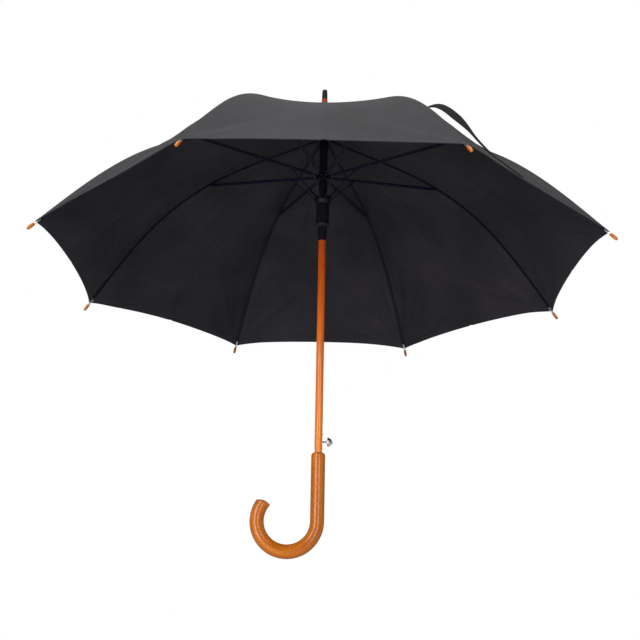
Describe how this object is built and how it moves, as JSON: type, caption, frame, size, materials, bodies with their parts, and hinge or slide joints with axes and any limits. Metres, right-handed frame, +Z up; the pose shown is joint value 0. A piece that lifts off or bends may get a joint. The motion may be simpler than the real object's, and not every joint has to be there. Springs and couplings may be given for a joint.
{
  "type": "stick umbrella",
  "caption": "Open automatic stick umbrella: domed black canopy on a ribbed steel frame, wooden shaft with release button, and a wooden crook handle.",
  "frame": {"origin": "on the shaft's axis at the middle of the grip", "axes": "+Z up the shaft to the ferrule; the crook bends towards -X and the release button stands on +X"},
  "size_m": [0.9498, 0.9498, 0.8846],
  "materials": {
    "handle_wood": "orange-brown stained wood under glossy lacquer",
    "shaft_wood": "reddish-brown stained wood under glossy lacquer",
    "black_steel": "black painted steel, semi-gloss",
    "black_plastic": "moulded black plastic, satin",
    "bright_metal": "polished chrome",
    "spring_steel": "bright steel wire",
    "canopy_fabric": "black woven polyester with a faint sheen",
    "strap_fabric": "black woven band"
  },
  "bodies": {
    "shaft": {"shaft": "shaft_wood", "handle": "handle_wood", "ferrule": "shaft_wood", "ferrule_cap": "black_plastic", "top_notch": "black_plastic", "notch_wire": "spring_steel", "canopy_cap": "black_plastic", "inner_rosette": "canopy_fabric", "canopy": "canopy_fabric", "tie_strap": "strap_fabric", "strap_snap": "bright_metal", "latch_pin": "spring_steel", "latch_spring": "spring_steel"},
    "runner": {"runner": "black_plastic", "runner_wire": "spring_steel", "opening_spring": "spring_steel"},
    "upper_runner": {"upper_runner": "black_plastic", "upper_runner_wire": "spring_steel"},
    "release_button": {"release_button": "bright_metal"},
    "release_latch": {"release_latch": "spring_steel"},
    "rib_inner_1": {"rib_inner_1": "black_steel"},
    "rib_outer_1": {"rib_outer_1": "black_steel", "rib_tip_1": "handle_wood"},
    "stretcher_1": {"stretcher_1": "black_steel"},
    "strut_1": {"strut_1": "black_steel"},
    "rib_inner_2": {"rib_inner_2": "black_steel"},
    "rib_outer_2": {"rib_outer_2": "black_steel", "rib_tip_2": "handle_wood"},
    "stretcher_2": {"stretcher_2": "black_steel"},
    "strut_2": {"strut_2": "black_steel"},
    "rib_inner_3": {"rib_inner_3": "black_steel"},
    "rib_outer_3": {"rib_outer_3": "black_steel", "rib_tip_3": "handle_wood"},
    "stretcher_3": {"stretcher_3": "black_steel"},
    "strut_3": {"strut_3": "black_steel"},
    "rib_inner_4": {"rib_inner_4": "black_steel"},
    "rib_outer_4": {"rib_outer_4": "black_steel", "rib_tip_4": "handle_wood"},
    "stretcher_4": {"stretcher_4": "black_steel"},
    "strut_4": {"strut_4": "black_steel"},
    "rib_inner_5": {"rib_inner_5": "black_steel"},
    "rib_outer_5": {"rib_outer_5": "black_steel", "rib_tip_5": "handle_wood"},
    "stretcher_5": {"stretcher_5": "black_steel"},
    "strut_5": {"strut_5": "black_steel"},
    "rib_inner_6": {"rib_inner_6": "black_steel"},
    "rib_outer_6": {"rib_outer_6": "black_steel", "rib_tip_6": "handle_wood"},
    "stretcher_6": {"stretcher_6": "black_steel"},
    "strut_6": {"strut_6": "black_steel"},
    "rib_inner_7": {"rib_inner_7": "black_steel"},
    "rib_outer_7": {"rib_outer_7": "black_steel", "rib_tip_7": "handle_wood"},
    "stretcher_7": {"stretcher_7": "black_steel"},
    "strut_7": {"strut_7": "black_steel"},
    "rib_inner_8": {"rib_inner_8": "black_steel"},
    "rib_outer_8": {"rib_outer_8": "black_steel", "rib_tip_8": "handle_wood"},
    "stretcher_8": {"stretcher_8": "black_steel"},
    "strut_8": {"strut_8": "black_steel"}
  },
  "joints": [
    {"name": "runner_slide", "type": "slide", "parent": "shaft", "child": "runner", "axis": [0, 0, 1], "range_m": [-0.36864, 0], "stiffness_N_per_m": 60, "springref_m": 0.3, "deforming": ["canopy", "tie_strap", "strap_snap", "opening_spring"]},
    {"name": "upper_runner_slide", "type": "slide", "parent": "shaft", "child": "upper_runner", "axis": [0, 0, 1], "range_m": [-0.39708, 0]},
    {"name": "release_button_press", "type": "slide", "parent": "shaft", "child": "release_button", "axis": [-1, 0, 0], "range_m": [0, 0.003], "stiffness_N_per_m": 400, "springref_m": -0.002, "deforming": ["latch_spring"]},
    {"name": "release_latch_swing", "type": "hinge", "parent": "shaft", "child": "release_latch", "pos_m": [0.0025, 0, 0.106], "axis": [0, 1, 0], "range_deg": [0, 6.05]},
    {"name": "rib_1_fold", "type": "hinge", "parent": "shaft", "child": "rib_inner_1", "pos_m": [0.00924, 0.00383, 0.6577], "axis": [-0.3827, 0.9239, 0], "range_deg": [0, 77.11]},
    {"name": "rib_1_flex", "type": "hinge", "parent": "rib_inner_1", "child": "rib_outer_1", "pos_m": [0.22589, 0.09357, 0.604], "axis": [0.3827, -0.9239, 0], "range_deg": [0, 30.78]},
    {"name": "stretcher_1_swing", "type": "hinge", "parent": "upper_runner", "child": "stretcher_1", "pos_m": [0.00924, 0.00383, 0.5783], "axis": [0.3827, -0.9239, 0], "range_deg": [0, 83.76]},
    {"name": "strut_1_swing", "type": "hinge", "parent": "runner", "child": "strut_1", "pos_m": [0.01201, 0.00497, 0.5315], "axis": [0.3827, -0.9239, 0], "range_deg": [0, 47.64]},
    {"name": "rib_2_fold", "type": "hinge", "parent": "shaft", "child": "rib_inner_2", "pos_m": [0.00383, 0.00924, 0.6577], "axis": [-0.9239, 0.3827, 0], "range_deg": [0, 77.11]},
    {"name": "rib_2_flex", "type": "hinge", "parent": "rib_inner_2", "child": "rib_outer_2", "pos_m": [0.09357, 0.22589, 0.604], "axis": [0.9239, -0.3827, 0], "range_deg": [0, 30.78]},
    {"name": "stretcher_2_swing", "type": "hinge", "parent": "upper_runner", "child": "stretcher_2", "pos_m": [0.00383, 0.00924, 0.5783], "axis": [0.9239, -0.3827, 0], "range_deg": [0, 83.76]},
    {"name": "strut_2_swing", "type": "hinge", "parent": "runner", "child": "strut_2", "pos_m": [0.00497, 0.01201, 0.5315], "axis": [0.9239, -0.3827, 0], "range_deg": [0, 47.64]},
    {"name": "rib_3_fold", "type": "hinge", "parent": "shaft", "child": "rib_inner_3", "pos_m": [-0.00383, 0.00924, 0.6577], "axis": [-0.9239, -0.3827, 0], "range_deg": [0, 77.11]},
    {"name": "rib_3_flex", "type": "hinge", "parent": "rib_inner_3", "child": "rib_outer_3", "pos_m": [-0.09357, 0.22589, 0.604], "axis": [0.9239, 0.3827, 0], "range_deg": [0, 30.78]},
    {"name": "stretcher_3_swing", "type": "hinge", "parent": "upper_runner", "child": "stretcher_3", "pos_m": [-0.00383, 0.00924, 0.5783], "axis": [0.9239, 0.3827, 0], "range_deg": [0, 83.76]},
    {"name": "strut_3_swing", "type": "hinge", "parent": "runner", "child": "strut_3", "pos_m": [-0.00497, 0.01201, 0.5315], "axis": [0.9239, 0.3827, 0], "range_deg": [0, 47.64]},
    {"name": "rib_4_fold", "type": "hinge", "parent": "shaft", "child": "rib_inner_4", "pos_m": [-0.00924, 0.00383, 0.6577], "axis": [-0.3827, -0.9239, 0], "range_deg": [0, 77.11]},
    {"name": "rib_4_flex", "type": "hinge", "parent": "rib_inner_4", "child": "rib_outer_4", "pos_m": [-0.22589, 0.09357, 0.604], "axis": [0.3827, 0.9239, 0], "range_deg": [0, 30.78]},
    {"name": "stretcher_4_swing", "type": "hinge", "parent": "upper_runner", "child": "stretcher_4", "pos_m": [-0.00924, 0.00383, 0.5783], "axis": [0.3827, 0.9239, 0], "range_deg": [0, 83.76]},
    {"name": "strut_4_swing", "type": "hinge", "parent": "runner", "child": "strut_4", "pos_m": [-0.01201, 0.00497, 0.5315], "axis": [0.3827, 0.9239, 0], "range_deg": [0, 47.64]},
    {"name": "rib_5_fold", "type": "hinge", "parent": "shaft", "child": "rib_inner_5", "pos_m": [-0.00924, -0.00383, 0.6577], "axis": [0.3827, -0.9239, 0], "range_deg": [0, 77.11]},
    {"name": "rib_5_flex", "type": "hinge", "parent": "rib_inner_5", "child": "rib_outer_5", "pos_m": [-0.22589, -0.09357, 0.604], "axis": [-0.3827, 0.9239, 0], "range_deg": [0, 30.78]},
    {"name": "stretcher_5_swing", "type": "hinge", "parent": "upper_runner", "child": "stretcher_5", "pos_m": [-0.00924, -0.00383, 0.5783], "axis": [-0.3827, 0.9239, 0], "range_deg": [0, 83.76]},
    {"name": "strut_5_swing", "type": "hinge", "parent": "runner", "child": "strut_5", "pos_m": [-0.01201, -0.00497, 0.5315], "axis": [-0.3827, 0.9239, 0], "range_deg": [0, 47.64]},
    {"name": "rib_6_fold", "type": "hinge", "parent": "shaft", "child": "rib_inner_6", "pos_m": [-0.00383, -0.00924, 0.6577], "axis": [0.9239, -0.3827, 0], "range_deg": [0, 77.11]},
    {"name": "rib_6_flex", "type": "hinge", "parent": "rib_inner_6", "child": "rib_outer_6", "pos_m": [-0.09357, -0.22589, 0.604], "axis": [-0.9239, 0.3827, 0], "range_deg": [0, 30.78]},
    {"name": "stretcher_6_swing", "type": "hinge", "parent": "upper_runner", "child": "stretcher_6", "pos_m": [-0.00383, -0.00924, 0.5783], "axis": [-0.9239, 0.3827, 0], "range_deg": [0, 83.76]},
    {"name": "strut_6_swing", "type": "hinge", "parent": "runner", "child": "strut_6", "pos_m": [-0.00497, -0.01201, 0.5315], "axis": [-0.9239, 0.3827, 0], "range_deg": [0, 47.64]},
    {"name": "rib_7_fold", "type": "hinge", "parent": "shaft", "child": "rib_inner_7", "pos_m": [0.00383, -0.00924, 0.6577], "axis": [0.9239, 0.3827, 0], "range_deg": [0, 77.11]},
    {"name": "rib_7_flex", "type": "hinge", "parent": "rib_inner_7", "child": "rib_outer_7", "pos_m": [0.09357, -0.22589, 0.604], "axis": [-0.9239, -0.3827, 0], "range_deg": [0, 30.78]},
    {"name": "stretcher_7_swing", "type": "hinge", "parent": "upper_runner", "child": "stretcher_7", "pos_m": [0.00383, -0.00924, 0.5783], "axis": [-0.9239, -0.3827, 0], "range_deg": [0, 83.76]},
    {"name": "strut_7_swing", "type": "hinge", "parent": "runner", "child": "strut_7", "pos_m": [0.00497, -0.01201, 0.5315], "axis": [-0.9239, -0.3827, 0], "range_deg": [0, 47.64]},
    {"name": "rib_8_fold", "type": "hinge", "parent": "shaft", "child": "rib_inner_8", "pos_m": [0.00924, -0.00383, 0.6577], "axis": [0.3827, 0.9239, 0], "range_deg": [0, 77.11]},
    {"name": "rib_8_flex", "type": "hinge", "parent": "rib_inner_8", "child": "rib_outer_8", "pos_m": [0.22589, -0.09357, 0.604], "axis": [-0.3827, -0.9239, 0], "range_deg": [0, 30.78]},
    {"name": "stretcher_8_swing", "type": "hinge", "parent": "upper_runner", "child": "stretcher_8", "pos_m": [0.00924, -0.00383, 0.5783], "axis": [-0.3827, -0.9239, 0], "range_deg": [0, 83.76]},
    {"name": "strut_8_swing", "type": "hinge", "parent": "runner", "child": "strut_8", "pos_m": [0.01201, -0.00497, 0.5315], "axis": [-0.3827, -0.9239, 0], "range_deg": [0, 47.64]}
  ],
  "couplings": [
    {"joint": "upper_runner_slide", "follows": "runner_slide", "ratio": 1.0771},
    {"joint": "release_latch_swing", "follows": "release_button_press", "rad_per_m": 34.907},
    {"joint": "rib_1_fold", "follows": "runner_slide", "rad_per_m": -3.6504},
    {"joint": "rib_1_flex", "follows": "runner_slide", "rad_per_m": -1.4569},
    {"joint": "stretcher_1_swing", "follows": "runner_slide", "rad_per_m": -3.9649},
    {"joint": "strut_1_swing", "follows": "runner_slide", "rad_per_m": -2.255},
    {"joint": "rib_2_fold", "follows": "runner_slide", "rad_per_m": -3.6504},
    {"joint": "rib_2_flex", "follows": "runner_slide", "rad_per_m": -1.4569},
    {"joint": "stretcher_2_swing", "follows": "runner_slide", "rad_per_m": -3.9649},
    {"joint": "strut_2_swing", "follows": "runner_slide", "rad_per_m": -2.255},
    {"joint": "rib_3_fold", "follows": "runner_slide", "rad_per_m": -3.6504},
    {"joint": "rib_3_flex", "follows": "runner_slide", "rad_per_m": -1.4569},
    {"joint": "stretcher_3_swing", "follows": "runner_slide", "rad_per_m": -3.9649},
    {"joint": "strut_3_swing", "follows": "runner_slide", "rad_per_m": -2.255},
    {"joint": "rib_4_fold", "follows": "runner_slide", "rad_per_m": -3.6504},
    {"joint": "rib_4_flex", "follows": "runner_slide", "rad_per_m": -1.4569},
    {"joint": "stretcher_4_swing", "follows": "runner_slide", "rad_per_m": -3.9649},
    {"joint": "strut_4_swing", "follows": "runner_slide", "rad_per_m": -2.255},
    {"joint": "rib_5_fold", "follows": "runner_slide", "rad_per_m": -3.6504},
    {"joint": "rib_5_flex", "follows": "runner_slide", "rad_per_m": -1.4569},
    {"joint": "stretcher_5_swing", "follows": "runner_slide", "rad_per_m": -3.9649},
    {"joint": "strut_5_swing", "follows": "runner_slide", "rad_per_m": -2.255},
    {"joint": "rib_6_fold", "follows": "runner_slide", "rad_per_m": -3.6504},
    {"joint": "rib_6_flex", "follows": "runner_slide", "rad_per_m": -1.4569},
    {"joint": "stretcher_6_swing", "follows": "runner_slide", "rad_per_m": -3.9649},
    {"joint": "strut_6_swing", "follows": "runner_slide", "rad_per_m": -2.255},
    {"joint": "rib_7_fold", "follows": "runner_slide", "rad_per_m": -3.6504},
    {"joint": "rib_7_flex", "follows": "runner_slide", "rad_per_m": -1.4569},
    {"joint": "stretcher_7_swing", "follows": "runner_slide", "rad_per_m": -3.9649},
    {"joint": "strut_7_swing", "follows": "runner_slide", "rad_per_m": -2.255},
    {"joint": "rib_8_fold", "follows": "runner_slide", "rad_per_m": -3.6504},
    {"joint": "rib_8_flex", "follows": "runner_slide", "rad_per_m": -1.4569},
    {"joint": "stretcher_8_swing", "follows": "runner_slide", "rad_per_m": -3.9649},
    {"joint": "strut_8_swing", "follows": "runner_slide", "rad_per_m": -2.255}
  ]
}
